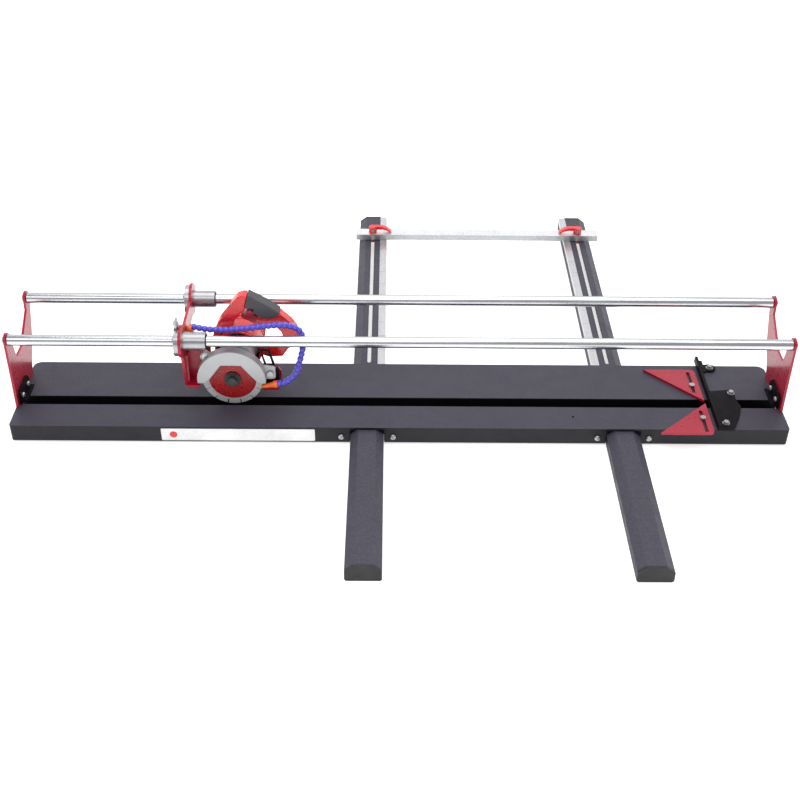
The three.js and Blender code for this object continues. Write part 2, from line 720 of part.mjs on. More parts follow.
// soft sleeve round the core of the handle
function grip() {
  const proud = 1;
  const outline = HANDLE_OUTER.map(([x, z]) => [x, z + proud]);
  const sleeve = prism('y', GRIP, HANDLE_Y[0] - proud, HANDLE_Y[1] + proud);
  const hump = prism('y', outline, HANDLE_Y[0] - 2, HANDLE_Y[1] + 2);
  const core = grown(prism('y', GRIP_CORE, HANDLE_Y[0] + 4.6, HANDLE_Y[1] - 4.6), 0.4);
  return less(sleeve.intersect(hump), core, triggerRecess());
}

function handle() {
  const y = HANDLE_Y;
  const loop = less(
    prism('y', HANDLE_OUTER, ...y, [HANDLE_INNER]),
    grown(prism('y', GRIP, y[0] - 2, y[1] + 2), 0.4),
  );
  return less(
    loop.add(prism('y', GRIP_CORE, y[0] + 5, y[1] - 5)),
    rod('y', MOTOR_C, MOTOR_R + GAP, 20, 80, 48),
    triggerRecess(),
    rod('x', GLAND, 5.4, -203, -174, 20),
  );
}

// paddle with a round head that slides up in its recess
function trigger() {
  const paddle = [
    [-287.5, 196], [-279, 191.5], [-267, 185], [-258.1, 183], [-258.1, 196.5], [-266, 200.5],
    [-279, 200.5],
  ];
  const y = [HANDLE_Y[0] + 1.5, HANDLE_Y[1] - 1.5];
  return unite(prism('y', paddle, ...y), rod('y', TRIGGER_C, TRIGGER_R, ...y, 24));
}

const GLAND = [47, 143];

function cableGland() {
  const profile = [
    [0, 0], [5, 0], [5, 16], [7.5, 16.3], [7.5, 20], [5.5, 21], [5.5, 30], [3.5, 31], [3.5, 10], [0, 10],
  ];
  const g = new THREE.LatheGeometry(profile.map(([r, h]) => new THREE.Vector2(r, h)), 20);
  g.rotateZ(-Math.PI / 2);
  g.translate(-201, ...GLAND);
  return solid(g);
}

// ---------------------------------------------------------------- water hose
const HOSE_PATH = [
  [-368, 18, 187], [-348, 18, 183], [-321, 18, 181], [-285, 18, 184], [-249, 18, 189],
  [-222, 18, 192], [-200, 18, 191], [-186, 18, 185], [-178, 18, 174], [-175.5, 15, 155],
  [-178, 11, 139], [-183, 6, 120], [-187.5, 1, 105], [-195, -3, 94.5], [-206, -5.6, 86],
  [-214, -6, 82.6], [-221.4, -6, 80.9],
];

function hose() {
  const curve = new THREE.CatmullRomCurve3(HOSE_PATH.map((p) => new THREE.Vector3(...p)));
  const shape = toShape(circle(0, 0, 6, 14), [circle(0, 0, 3.4, 10)]);
  const g = new THREE.ExtrudeGeometry(shape, { steps: 44, bevelEnabled: false, extrudePath: curve });
  return solid(g);
}

// threaded fitting through the carriage plate with a barb for the supply tube
function hoseBase() {
  const profile = [
    [3, 0], [5, 0], [4, 6], [5, 6], [4, 12], [7.5, 12], [7.5, 15], [5, 15], [5, 24],
    [8.5, 24], [8.5, 33], [3, 33], [3, 0],
  ];
  const g = new THREE.LatheGeometry(profile.map(([r, h]) => new THREE.Vector2(r, h)), 20);
  g.rotateZ(-Math.PI / 2);
  g.translate(-407, 45, RAIL_Z - 8);
  return solid(g);
}

const NOZZLE_START = [-223, -6, 80.5];
const NOZZLE_TILT = 0.2;

function nozzle() {
  const profile = [
    [2.2, 0], [6.8, 0], [6.8, 7], [5.2, 11], [3.2, 30], [2, 30], [2.2, 0],
  ];
  const g = new THREE.LatheGeometry(profile.map(([r, h]) => new THREE.Vector2(r, h)), 20);
  g.rotateZ(Math.PI / 2);
  g.rotateY(-NOZZLE_TILT);
  g.translate(...NOZZLE_START);
  return solid(g);
}

// ---------------------------------------------------------------- gauges and stop
const GAUGE_SCREWS = [[548, 51], [548, -50]];
const STOP_BOLTS = [[594, 112], [617, 30], [588, -62]];

function anglePlate(far, near, slot) {
  const x = [465, 562];
  const side = Math.sign(far);
  const corner = far - side * 8;
  const outline = side > 0
    ? [[x[1], near], [x[1], corner], [x[1] - 3, far - 2], [x[1] - 8, far], [x[0], far]]
    : [[x[1], near], [x[0], far], [x[1] - 8, far], [x[1] - 3, far + 2], [x[1], corner]];
  const z = TABLE_TOP + GAP;
  const middle = (slot[0] + slot[1]) / 2;
  const r = 3.2;
  const half = Math.abs(slot[1] - slot[0]) / 2 - r;
  return prism('z', outline, z, z + 4.7, [slotOutline([548, middle], half, r)]);
}

function gaugeScrew(centre) {
  const z = TABLE_TOP + 5.3;
  return unite(rod('z', centre, 2.6, TABLE_TOP - 6, z + 1, 16), rod('z', centre, 5.2, z, z + 3, 24));
}

// end stop: an upright strip on a thin foot with three bolted ears
function stopFence() {
  const z = TABLE_TOP + GAP;
  const wall = [STOP_X, STOP_X + 5];
  const spine = [
    [wall[0], -80], [599, -80], [619, -37], [627, -10], [622, 9], [623, 22], [619, 41],
    [wall[1] + 2, 36], [wall[1] + 2, 98], [584, 98], [584, 136], [wall[0], 137],
  ];
  const body = unite(
    prism('z', spine, z, z + 3),
    rod('z', STOP_BOLTS[0], 12, z, z + 3, 28),
    box([wall[1] - 1, STOP_BOLTS[0][0]], [101, 123], [z, z + 3]),
    box(wall, [-80, 137], [z, z + 12]),
  );
  return less(body, ...STOP_BOLTS.map((bolt) => rod('z', bolt, 3.4, z - 1, z + 4, 16)));
}

// ---------------------------------------------------------------- put together
add('table_top', tableTop(), 'charcoal');
add('groove_trough', grooveTrough(), 'black');

const LEG_INNER = { front: GROOVE_FRONT - 4, rear: GROOVE_REAR + 4 };
LEG_X.forEach((x, i) => {
  const side = i === 0 ? 'left' : 'right';
  add(`leg_front_${side}`, leg(x, LEG_FRONT_END + CAP + GAP, LEG_INNER.front, false), 'charcoal');
  add(`leg_rear_${side}`, leg(x, LEG_INNER.rear, LEG_REAR_END - CAP - GAP, true), 'charcoal');
  add(`cap_front_${side}`, legCap(x, LEG_FRONT_END + CAP, -1), 'black');
  add(`cap_rear_${side}`, legCap(x, LEG_REAR_END - CAP, 1), 'black');
  add(`saddle_front_${side}`, legSaddle(x, [TABLE_FRONT + 2.4, TABLE_FRONT + 14]), 'black');
  add(`saddle_rear_${side}`, legSaddle(x, [TABLE_REAR - 14, TABLE_REAR - 2.4]), 'black');
});
add('ruler_left', ruler(LEG_X[0], 1), 'alu');
add('ruler_right', ruler(LEG_X[1], -1), 'alu');

add('fence_bar', fenceBar(), 'alu');
add('fence_cam_left', fenceCam(LEG_X[0], 1), 'red');
add('fence_cam_right', fenceCam(LEG_X[1], -1), 'red');

add('rail_front', rail(RAIL_Y[0]), 'chrome');
add('rail_rear', rail(RAIL_Y[1]), 'chrome');
add('bracket_left', endBracket(-1), 'red');
add('bracket_right', endBracket(1), 'red');
add('end_clamp_left', endClamp(-1), 'black');
add('end_clamp_right', endClamp(1), 'black');

add('carriage_plate', carriagePlate(), 'red');
add('bearing_front', linearBearing(RAIL_Y[0]), 'steel');
add('bearing_rear', linearBearing(RAIL_Y[1]), 'steel');
add('saw_cradle', sawCradle(), 'red');
add('wing_screw', wingScrew(), 'steel');
add('pivot_screw', pivotScrew(), 'steel');

add('blade', bladeDisc(), 'steel');
add('flange_outer', bladeFlange(-5, -1.3, 5.3), 'carbon');
add('flange_inner', bladeFlange(1.3, 5.2, 5.3), 'carbon');
add('blade_nut', bladeNut(), 'carbon');
add('spindle', spindle(), 'steel');
const gearBore = 5.3;
add('spindle_gear', toothed(BLADE_C, 29.9, GEAR_TEETH, GEAR_Y[0], GEAR_Y[1], gearBore), 'steel');
add('gear_case', gearCase(), 'cast');
add('gear_cover', gearCover(), 'cast');
add('blade_guard', bladeGuard(), 'cast');
add('depth_strap', depthStrap(), 'black');
add('strap_bolt', strapBolt(), 'steel');
add('motor_housing', motorHousing(), 'red');
add('stator', stator(), 'copper');
add('armature', armature(), 'steel');
add('rear_bearing', ring('y', MOTOR_C, 11, 4.3, 106.5, 113, 24), 'steel');
add('brush_left', brush(-1), 'carbon');
add('brush_right', brush(1), 'carbon');
add('handle', handle(), 'red');
add('grip', grip(), 'rubber');
add('trigger', trigger(), 'red');
add('cable_gland', cableGland(), 'rubber');

add('hose_base', hoseBase(), 'orange');
add('hose', hose(), 'blue');
add('nozzle', nozzle(), 'orange');

add('angle_plate_rear', anglePlate(103, 4, [28, 95]), 'red');
add('angle_plate_front', anglePlate(-93, -4, [-90, -26]), 'red');
add('gauge_screw_rear', gaugeScrew(GAUGE_SCREWS[0]), 'steel');
add('gauge_screw_front', gaugeScrew(GAUGE_SCREWS[1]), 'steel');
add('stop_fence', stopFence(), 'black');

export default group;
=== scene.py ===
"""Looks of the bench tile cutter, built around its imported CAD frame.

Metres, in the CAD frame: +X along the rails to the end stop, +Y away from the operator,
+Z up, origin on the floor at the middle of the machine.
"""

import json
import math

import bmesh
import bpy
from mathutils import Matrix, Vector


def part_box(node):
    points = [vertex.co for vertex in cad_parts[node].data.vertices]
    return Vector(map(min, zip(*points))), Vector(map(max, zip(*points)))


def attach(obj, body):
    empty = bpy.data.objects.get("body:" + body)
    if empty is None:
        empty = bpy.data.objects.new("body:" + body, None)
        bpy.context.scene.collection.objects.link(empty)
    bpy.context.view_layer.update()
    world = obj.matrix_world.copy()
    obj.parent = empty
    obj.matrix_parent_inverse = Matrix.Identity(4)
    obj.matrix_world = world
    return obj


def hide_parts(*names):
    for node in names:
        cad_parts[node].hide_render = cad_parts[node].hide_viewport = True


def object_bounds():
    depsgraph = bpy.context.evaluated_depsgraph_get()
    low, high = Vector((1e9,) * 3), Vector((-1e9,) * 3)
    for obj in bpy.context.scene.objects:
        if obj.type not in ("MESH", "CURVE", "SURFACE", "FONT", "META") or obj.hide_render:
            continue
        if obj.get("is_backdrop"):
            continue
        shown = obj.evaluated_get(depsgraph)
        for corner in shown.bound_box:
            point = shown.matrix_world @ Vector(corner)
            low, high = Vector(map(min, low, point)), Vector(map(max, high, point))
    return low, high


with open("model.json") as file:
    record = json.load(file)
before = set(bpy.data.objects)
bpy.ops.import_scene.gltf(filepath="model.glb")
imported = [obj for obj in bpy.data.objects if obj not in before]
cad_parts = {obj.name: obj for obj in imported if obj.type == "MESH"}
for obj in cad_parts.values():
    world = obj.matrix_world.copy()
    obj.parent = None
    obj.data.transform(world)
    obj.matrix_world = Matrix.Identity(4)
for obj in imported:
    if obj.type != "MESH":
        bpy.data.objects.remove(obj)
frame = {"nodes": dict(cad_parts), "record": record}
CAD_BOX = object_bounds()
MM = 0.001

# ---------------------------------------------------------------- places taken from the frame


def low(node):
    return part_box(node)[0]


def high(node):
    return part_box(node)[1]


def middle(node):
    a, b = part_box(node)
    return (a + b) / 2


GROOVE_Y = middle("blade").y
TABLE_TOP = high("table_top").z
TABLE_FRONT = low("table_top").y
TABLE_REAR = high("table_top").y
LEG_X = {"left": middle("leg_front_left").x, "right": middle("leg_front_right").x}
RAIL_Y = {"front": middle("rail_front").y, "rear": middle("rail_rear").y}
RAIL_Z = middle("rail_front").z
BLADE_C = middle("blade")
MOTOR_C = Vector((middle("motor_housing").x, 0, middle("motor_housing").z))

# ---------------------------------------------------------------- materials


class Nodes:
    """A short way to write a node material."""

    def __init__(self, name):
        self.material = bpy.data.materials.new(name)
        self.material.use_nodes = True
        self.tree = self.material.node_tree
        self.shader = self.tree.nodes["Principled BSDF"]
        self.coords = self.tree.nodes.new("ShaderNodeTexCoord").outputs["Object"]

    def new(self, kind):
        return self.tree.nodes.new("ShaderNode" + kind)

    def feed(self, node, key, value):
        socket = node.inputs[key]
        if isinstance(value, bpy.types.NodeSocket):
            self.tree.links.new(value, socket)
        else:
            socket.default_value = value

    def stretched(self, scale):
        node = self.new("Mapping")
        self.feed(node, "Vector", self.coords)
        self.feed(node, "Scale", scale)
        return node.outputs["Vector"]

    def noise(self, scale, detail=3.0, stretch=None, rough=0.5):
        node = self.new("TexNoise")
        self.feed(node, "Vector", self.stretched(stretch) if stretch else self.coords)
        self.feed(node, "Scale", scale)
        self.feed(node, "Detail", detail)
        self.feed(node, "Roughness", rough)
        return node.outputs["Fac"]

    def ramp(self, value, stops):
        node = self.new("ValToRGB")
        self.feed(node, "Fac", value)
        ramp = node.color_ramp
        ramp.elements[0].position, ramp.elements[0].color = stops[0][0], (*stops[0][1], 1)
        ramp.elements[1].position, ramp.elements[1].color = stops[-1][0], (*stops[-1][1], 1)
        for position, colour in stops[1:-1]:
            ramp.elements.new(position).color = (*colour, 1)
        return node.outputs["Color"]

    def span(self, value, low_out, high_out, low_in=0.3, high_in=0.7):
        node = self.new("MapRange")
        self.feed(node, "Value", value)
        self.feed(node, "From Min", low_in)
        self.feed(node, "From Max", high_in)
        self.feed(node, "To Min", low_out)
        self.feed(node, "To Max", high_out)
        return node.outputs["Result"]

    def math(self, operation, a, b=0.0):
        node = self.new("Math")
        node.operation = operation
        for i, value in enumerate((a, b)):
            if isinstance(value, bpy.types.NodeSocket):
                self.tree.links.new(value, node.inputs[i])
            else:
                node.inputs[i].default_value = value
        return node.outputs["Value"]

    def mix(self, share, a, b):
        node = self.new("Mix")
        node.data_type = "RGBA"
        for socket, value in ((node.inputs[0], share), (node.inputs[6], a), (node.inputs[7], b)):
            if isinstance(value, bpy.types.NodeSocket):
                self.tree.links.new(value, socket)
            elif isinstance(value, tuple):
                socket.default_value = (*value, 1)
            else:
                socket.default_value = value
        return node.outputs[2]

    def bump(self, height, distance, strength=1.0, after=None):
        node = self.new("Bump")
        self.feed(node, "Height", height)
        self.feed(node, "Distance", distance)
        self.feed(node, "Strength", strength)
        if after:
            self.tree.links.new(after, node.inputs["Normal"])
        return node.outputs["Normal"]

    def finish(self, **inputs):
        for key, value in inputs.items():
            name = {
                "color": "Base Color", "metal": "Metallic", "rough": "Roughness", "normal": "Normal",
                "coat": "Coat Weight", "coat_rough": "Coat Roughness", "spec": "Specular IOR Level",
            }[key]
            if isinstance(value, tuple):
                value = (*value, 1)
            self.feed(self.shader, name, value)
        return self.material


def tone(colour, factor):
    return tuple(min(1.0, c * factor) for c in colour)


def edge_wear(n, colour, bare, amount=1.0):
    """Paint rubbed thin on sharp edges, broken up by noise."""
    geometry = n.new("NewGeometry")
    edge = n.span(geometry.outputs["Pointiness"], 0.0, amount, 0.54, 0.62)
    broken = n.math("MULTIPLY", edge, n.span(n.noise(220, 4), 0.0, 1.0, 0.42, 0.62))
    return n.mix(broken, colour, bare)


def painted_flank_shade(n, colour, share):
    """Painted shade: faces that do not look up are darkened, standing in for the dimmer light they get from
    above.
    """
    parts = n.new("SeparateXYZ")
    n.tree.links.new(n.new("NewGeometry").outputs["Normal"], parts.inputs["Vector"])
    flank_shade = n.span(parts.outputs["Z"], share, 0.0, 0.1, 0.75)
    # the near-black colour is painted shade laid over the flanks
    return n.mix(flank_shade, colour, (0.004, 0.004, 0.006))


def powder_coat(name, colour, rough=0.5, flank_shade=0.0, spec=0.3):
    """Textured powder coat: fine grains, slow colour drift, a little dust, and painted shade on faces that do
    not look up.
    """
    n = Nodes(name)
    drift = n.ramp(n.noise(5, 3), [(0.3, tone(colour, 0.94)), (0.7, tone(colour, 1.07))])
    grains = n.noise(1500, 2)
    speckled = n.mix(n.span(grains, 0.0, 0.14, 0.45, 0.75), drift, tone(colour, 1.4))
    dusty = n.mix(n.span(n.noise(18, 5), 0.0, 0.06), speckled, tone(colour, 1.6))
    worn = edge_wear(n, dusty, tone(colour, 1.7), 0.4)
    # painted shade: faces that do not look up are darkened here
    shaded = painted_flank_shade(n, worn, flank_shade)
    roughness = n.span(n.noise(40, 4), rough - 0.05, rough + 0.08)
    return n.finish(color=shaded, rough=roughness, metal=0.0, spec=spec,
                    normal=n.bump(grains, 0.00006, 0.4))


def gloss_paint(name, colour, rough=0.3):
    """Glossy stoved paint: slight orange peel under a clear coat, paler where it mirrors the sky."""
    n = Nodes(name)
    drift = n.ramp(n.noise(9, 3), [(0.3, tone(colour, 0.93)), (0.7, tone(colour, 1.05))])
    worn = edge_wear(n, drift, tone(colour, 0.5), 0.5)
    scuffs = n.noise(60, 5, (1, 1, 9))
    roughness = n.span(scuffs, rough - 0.04, rough + 0.08, 0.35, 0.75)
    return n.finish(color=worn, rough=roughness, metal=0.0, coat=0.25, coat_rough=0.12, spec=0.35,
                    normal=n.bump(n.noise(420, 2), 0.00005, 0.25))


def ground_shaft(name, colour):
    """Hard-chromed ground shaft: fine rings round the axis, faint handling marks, and a painted dark
    reflection along the flanks seen at a grazing angle.
    """
    n = Nodes(name)
    rings = n.noise(900, 2, (1, 0.02, 0.02))
    smudge = n.noise(14, 4, (1, 3, 3))
    shade = n.ramp(smudge, [(0.3, tone(colour, 0.93)), (0.7, colour)])
    # Painted reflection: the base colour goes near-black where the surface is seen edge-on, standing in for a
    # dark room mirrored there.
    facing = n.new("LayerWeight")
    facing.inputs["Blend"].default_value = 0.5
    flank_shade = n.span(facing.outputs["Facing"], 0.0, 0.95, 0.5, 0.78)
    lined = n.mix(flank_shade, shade, (0.05, 0.05, 0.055))
    roughness = n.span(smudge, 0.16, 0.26)
    return n.finish(color=lined, metal=1.0, rough=roughness, normal=n.bump(rings, 0.00001, 0.15))


def brushed(name, colour, along=(0.03, 1, 1), rough=0.32, wear=True, flank_shade=0.0):
    """Metal with fine brush lines running along one axis, and painted shade on faces that do not look up."""
    n = Nodes(name)
    lines = n.noise(1400, 3, along)
    stain = n.noise(35, 4)
    shade = n.ramp(stain, [(0.25, tone(colour, 0.9)), (0.75, tone(colour, 1.06))])
    lined = n.mix(n.span(lines, 0.0, 0.2), shade, tone(colour, 0.78))
    if wear:
        lined = edge_wear(n, lined, tone(colour, 1.25), 0.7)
    # painted shade: faces that do not look up are darkened here
    lined = painted_flank_shade(n, lined, flank_shade)
    roughness = n.span(lines, rough - 0.08, rough + 0.12)
    return n.finish(color=lined, metal=0.92, rough=roughness, normal=n.bump(lines, 0.00002, 0.2))


def die_cast(name, colour):
    """Blasted and lacquered die casting: fine pitted skin, a little darker in slow random clouds."""
    n = Nodes(name)
    pits = n.noise(1100, 4)
    cloud = n.noise(30, 4)
    shade = n.ramp(cloud, [(0.3, tone(colour, 0.92)), (0.7, tone(colour, 1.04))])
    worn = edge_wear(n, shade, tone(colour, 1.2), 0.6)
    return n.finish(color=worn, metal=0.25, rough=n.span(pits, 0.36, 0.5), spec=0.5,
                    normal=n.bump(pits, 0.00008, 0.4))


def moulded(name, colour, rough=0.35, grain=900, depth=0.00006, coat=0.0):
    """Moulded plastic: spark-eroded grain, slight colour drift, rubbed edges."""
    n = Nodes(name)
    drift = n.ramp(n.noise(16, 3), [(0.3, tone(colour, 0.88)), (0.7, tone(colour, 1.1))])
    worn = edge_wear(n, drift, tone(colour, 1.6), 0.35)
    grains = n.noise(grain, 3)
    roughness = n.span(n.noise(70, 4), rough - 0.05, rough + 0.1)
    return n.finish(color=worn, rough=roughness, metal=0.0, coat=coat,
                    normal=n.bump(grains, depth, 0.6))


def disc_finish():
    """Painted core, bare ground band and a grey diamond rim, told apart by radius."""
    n = Nodes("blade_disc")
    offset = n.new("VectorMath")
    offset.operation = "SUBTRACT"
    n.tree.links.new(n.coords, offset.inputs[0])
    offset.inputs[1].default_value = BLADE_C
    length = n.new("VectorMath")
    length.operation = "LENGTH"
    n.tree.links.new(offset.outputs["Vector"], length.inputs[0])
    radius = length.outputs["Value"]
    strokes = n.noise(150, 2, (1, 1, 5))
    paint = n.ramp(strokes, [(0.32, (0.60, 0.16, 0.05)), (0.37, (0.30, 0.004, 0.010)),
                             (0.6, (0.44, 0.006, 0.014)), (0.75, (0.26, 0.004, 0.008))])
    steel = n.ramp(n.noise(300, 3), [(0.3, (0.58, 0.58, 0.59)), (0.7, (0.74, 0.74, 0.75))])
    rim = n.ramp(n.noise(1500, 2), [(0.3, (0.52, 0.51, 0.50)), (0.7, (0.78, 0.77, 0.76))])
    to_steel = n.span(radius, 0.0, 1.0, 43.0 * MM, 43.6 * MM)
    to_rim = n.span(radius, 0.0, 1.0, 47.2 * MM, 47.6 * MM)
    colour = n.mix(to_rim, n.mix(to_steel, paint, steel), rim)
    metal = n.math("MULTIPLY", to_steel, 0.35)
    rough = n.math("ADD", n.math("MULTIPLY", to_rim, 0.25), n.span(n.noise(120, 4), 0.25, 0.38))
    rings = n.new("TexWave")
    rings.wave_type = "RINGS"
    rings.rings_direction = "SPHERICAL"
    n.tree.links.new(offset.outputs["Vector"], rings.inputs["Vector"])
    rings.inputs["Scale"].default_value = 260
    return n.finish(color=colour, metal=metal, rough=rough,
                    normal=n.bump(rings.outputs["Fac"], 0.00002, 0.4))


def scale_strip(name, colour, spacing, start):
    """Satin aluminium rule with dark division lines across it, wider and darker every tenth."""
    n = Nodes(name)
    parts = n.new("SeparateXYZ")
    n.tree.links.new(n.coords, parts.inputs["Vector"])
    along = n.math("SUBTRACT", parts.outputs["Y"], start)

    def lines(pitch, width):
        turn = n.math("FRACT", n.math("DIVIDE", along, pitch))
        return n.math("LESS_THAN", turn, width / pitch)

    base = n.ramp(n.noise(1200, 2, (1, 0.05, 1)), [(0.3, tone(colour, 0.85)), (0.7, tone(colour, 1.05))])
    fine = n.math("MULTIPLY", lines(spacing, 0.25 * MM), 0.55)
    coarse = n.math("MULTIPLY", lines(spacing * 10, 0.7 * MM), 0.9)
    marked = n.mix(n.math("MAXIMUM", fine, coarse), base, (0.03, 0.03, 0.035))
    return n.finish(color=marked, metal=0.85, rough=n.span(n.noise(90, 3), 0.28, 0.42))


CHARCOAL = (0.050, 0.047, 0.067)
RED = (0.43, 0.006, 0.034)

MATERIALS = {
    # The fourth argument of charcoal_paint and black_paint and the last argument of extruded_aluminium set
    # painted shade on faces that do not look up.
    "charcoal_paint": powder_coat("charcoal_paint", CHARCOAL, 0.5, 0.85),
    "black_paint": powder_coat("black_paint", (0.005, 0.004, 0.006), 0.5, 0.5, 0.1),
    "red_paint": gloss_paint("red_paint", RED),
    "ground_chrome": ground_shaft("ground_chrome", (0.66, 0.67, 0.70)),
    "bright_steel": brushed("bright_steel", (0.44, 0.44, 0.46), (1, 1, 0.04), 0.28),
    "cast_aluminium": die_cast("cast_aluminium", (0.50, 0.51, 0.52)),
    "extruded_aluminium": brushed("extruded_aluminium", (0.78, 0.79, 0.81), rough=0.42, flank_shade=0.42),
    "red_plastic": moulded("red_plastic", (0.74, 0.010, 0.014), 0.22, 1400, 0.00002, 0.4),
    "black_plastic": moulded("black_plastic", (0.011, 0.010, 0.013), 0.5),
    "soft_grip": moulded("soft_grip", (0.072, 0.068, 0.076), 0.6, 700, 0.0001),
    "hose_blue": moulded("hose_blue", (0.105, 0.085, 0.66), 0.2, 1500, 0.00002, 0.5),
    "fitting_orange": moulded("fitting_orange", (0.92, 0.15, 0.012), 0.26, 1300, 0.00002, 0.3),
    "copper_windings": brushed("copper_windings", (0.62, 0.24, 0.10), (1, 0.05, 1), 0.4, False),
    "carbon_brush": moulded("carbon_brush", (0.030, 0.036, 0.034), 0.36, 800, 0.00006),
}
DISC = disc_finish()
RULE = scale_strip("rule_strip", (0.62, 0.62, 0.65), 5 * MM, low("ruler_left").y)
STICKER = moulded("sticker_white", (0.86, 0.86, 0.87), 0.4, 600, 0.00002)
TRIGGER_RED = moulded("trigger_red", (0.34, 0.006, 0.010), 0.3, 1200, 0.00002, 0.3)

# ---------------------------------------------------------------- mesh helpers


def piece(name, bm, body, slot=None, material=None, smooth=30):
    """Turns a bmesh, made in the row frame, into a piece riding on a body."""
    bmesh.ops.remove_doubles(bm, verts=bm.verts, dist=1e-7)
    bmesh.ops.recalc_face_normals(bm, faces=bm.faces)
    mesh = bpy.data.meshes.new(name)
    bm.to_mesh(mesh)
    bm.free()
    obj = bpy.data.objects.new(name, mesh)
    bpy.context.scene.collection.objects.link(obj)
    mesh.materials.append(material or MATERIALS[slot])
    if smooth:
        mesh.set_sharp_from_angle(angle=math.radians(smooth))
        for face in mesh.polygons:
            face.use_smooth = True
    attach(obj, body)
    return obj


def aim(at, direction, roll=0.0):
    """Matrix that puts local +Z along direction at a point."""
    turn = Vector((0, 0, 1)).rotation_difference(Vector(direction))
    return Matrix.Translation(at) @ turn.to_matrix().to_4x4() @ Matrix.Rotation(roll, 4, "Z")


def plain(radius):
    return lambda angle: radius


def hexagon(flat):
    """Radius of a hexagon with the given distance to its flats."""
    def radius(angle):
        part = (angle + math.pi / 6) % (math.pi / 3) - math.pi / 6
        return flat / math.cos(part)
    return radius


def cross(arm, waist):
    """Radius of a cross recess."""
    def radius(angle):
        part = abs((angle + math.pi / 4) % (math.pi / 2) - math.pi / 4)
        return arm if part < math.radians(15) else waist
    return radius


def turned(bm, rings, matrix, segments=24, close=False):
    """Skins rings of (radius or radius function, height) round local +Z, capped at both ends."""
    loops = []
    for radius, height in rings:
        shape = radius if callable(radius) else plain(radius)
        loop = []
        for i in range(segments):
            angle = 2 * math.pi * i / segments
            point = Vector((shape(angle) * math.cos(angle), shape(angle) * math.sin(angle), height))
            loop.append(bm.verts.new(matrix @ point))
        loops.append(loop)
    pairs = list(zip(loops, loops[1:]))
    if close:
        pairs.append((loops[-1], loops[0]))
    for a, b in pairs:
        for i in range(segments):
            j = (i + 1) % segments
            bm.faces.new((a[i], a[j], b[j], b[i]))
    if not close:
        bm.faces.new(list(reversed(loops[0])))
        bm.faces.new(loops[-1])


def pan_screw(bm, at, direction, radius, roll=0.3):
    """Domed head with a cross recess, standing on the surface at a point."""
    r = radius
    rings = [
        (r * 0.9, -0.1 * r), (r, 0.08 * r), (r, 0.3 * r), (r * 0.93, 0.5 * r), (r * 0.78, 0.66 * r),
        (r * 0.6, 0.74 * r), (cross(r * 0.52, r * 0.16), 0.76 * r), (cross(r * 0.46, r * 0.12), 0.4 * r),
        (r * 0.05, 0.3 * r),
    ]
    turned(bm, rings, aim(at, direction, roll), 48)


def cap_screw(bm, at, direction, radius, height=1.0, roll=0.2):
    """Cylinder head with a hex socket and a small chamfer."""
    r = radius
    h = height * r
    rings = [
        (r * 0.94, -0.05 * r), (r, 0.06 * r), (r, h * 0.88), (r * 0.93, h), (r * 0.62, h),
        (hexagon(r * 0.5), h * 0.97), (hexagon(r * 0.47), h * 0.45), (r * 0.06, h * 0.4),
    ]
    turned(bm, rings, aim(at, direction, roll), 36)


def hex_bolt(bm, at, direction, flat, height, roll=0.2, washer=1.5):
    """Hexagon head on a thin washer."""
    m = aim(at, direction, roll)
    turned(bm, [(flat * washer, 0), (flat * washer, 0.9 * MM), (flat * 0.9, 1.0 * MM)], m, 36)
    rings = [
        (hexagon(flat), 0.9 * MM), (hexagon(flat), height * 0.85), (flat * 0.98, height),
        (flat * 0.3, height * 1.02),
    ]
    turned(bm, rings, m, 36)


def screws(name, body, slot, makers):
    """One piece holding several fasteners that sit on the same body."""
    bm = bmesh.new()
    for make, *arguments in makers:
        make(bm, *arguments)
    return piece(name, bm, body, slot)


def catmull(points, steps):
    """Even samples of a Catmull-Rom curve through the points, with their tangents."""
    dense = []
    last = len(points) - 1
    for i in range(last):
        p0, p1, p2, p3 = (points[max(0, min(last, i + k))] for k in (-1, 0, 1, 2))
        for k in range(24):
            t = k / 24
            dense.append(0.5 * (2 * p1 + (p2 - p0) * t + (2 * p0 - 5 * p1 + 4 * p2 - p3) * t ** 2
                                + (3 * p1 - p0 - 3 * p2 + p3) * t ** 3))
    dense.append(points[-1])
    walked = [0.0]
    for a, b in zip(dense, dense[1:]):
        walked.append(walked[-1] + (b - a).length)
    samples = []
    j = 0
    for k in range(steps + 1):
        target = walked[-1] * k / steps
        while j < len(dense) - 2 and walked[j + 1] < target:
            j += 1
        share = (target - walked[j]) / max(1e-9, walked[j + 1] - walked[j])
        samples.append((dense[j].lerp(dense[j + 1], share), (dense[j + 1] - dense[j]).normalized()))
    return samples, walked[-1]


def softened(node, body, slot, voxel, rounds, name, material=None):
    """A moulded or cast skin: the CAD node remeshed and smoothed so that its edges are round."""
    source = frame["nodes"][node]
    mesh = source.data.copy()
    obj = bpy.data.objects.new(name, mesh)
    bpy.context.scene.collection.objects.link(obj)
    mesh.materials.clear()
    remesh = obj.modifiers.new("remesh", "REMESH")
    remesh.mode = "VOXEL"
    remesh.voxel_size = voxel
    smooth = obj.modifiers.new("smooth", "SMOOTH")
    smooth.factor = 0.5
    smooth.iterations = rounds
    bpy.context.view_layer.update()
    made = bpy.data.meshes.new_from_object(obj.evaluated_get(bpy.context.evaluated_depsgraph_get()))
    obj.modifiers.clear()
    obj.data = made
    obj.name = name
    made.materials.clear()
    made.materials.append(material or MATERIALS[slot])
    for face in made.polygons:
        face.use_smooth = True
    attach(obj, body)
    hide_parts(node)
    return obj


# ---------------------------------------------------------------- finish of the CAD nodes

